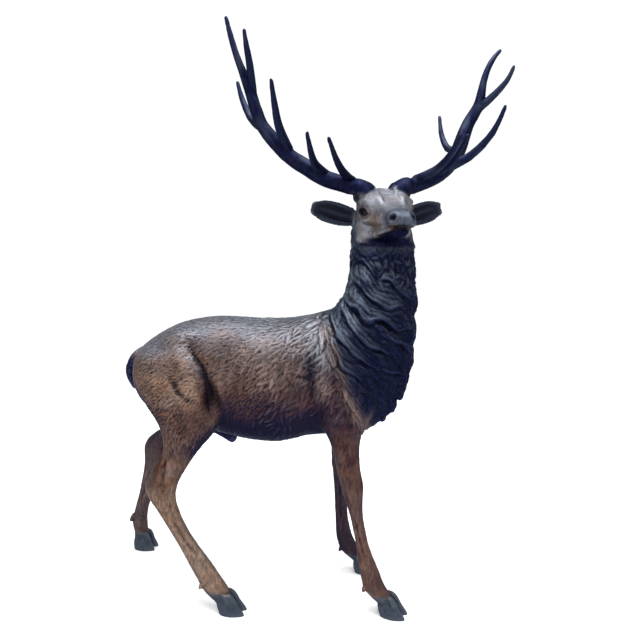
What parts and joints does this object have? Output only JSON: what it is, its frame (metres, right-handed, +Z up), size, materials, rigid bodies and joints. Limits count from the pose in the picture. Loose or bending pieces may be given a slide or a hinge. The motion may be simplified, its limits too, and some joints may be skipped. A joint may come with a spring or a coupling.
{
  "type": "bronze stag sculpture",
  "caption": "Life-size standing stag in cast bronze, head turned to its right, with branching antlers and a thick mane.",
  "frame": {"origin": "middle of the box around the stag, on the ground it stands on", "axes": "+X the way the body faces, +Y to the stag's left, +Z up"},
  "size_m": [1.693, 0.6376, 2.3039],
  "materials": {
    "bronze": "brown patinated cast bronze, blue-black on mane, antlers and belly"
  },
  "bodies": {
    "root": {"stag": "bronze"}
  },
  "joints": []
}
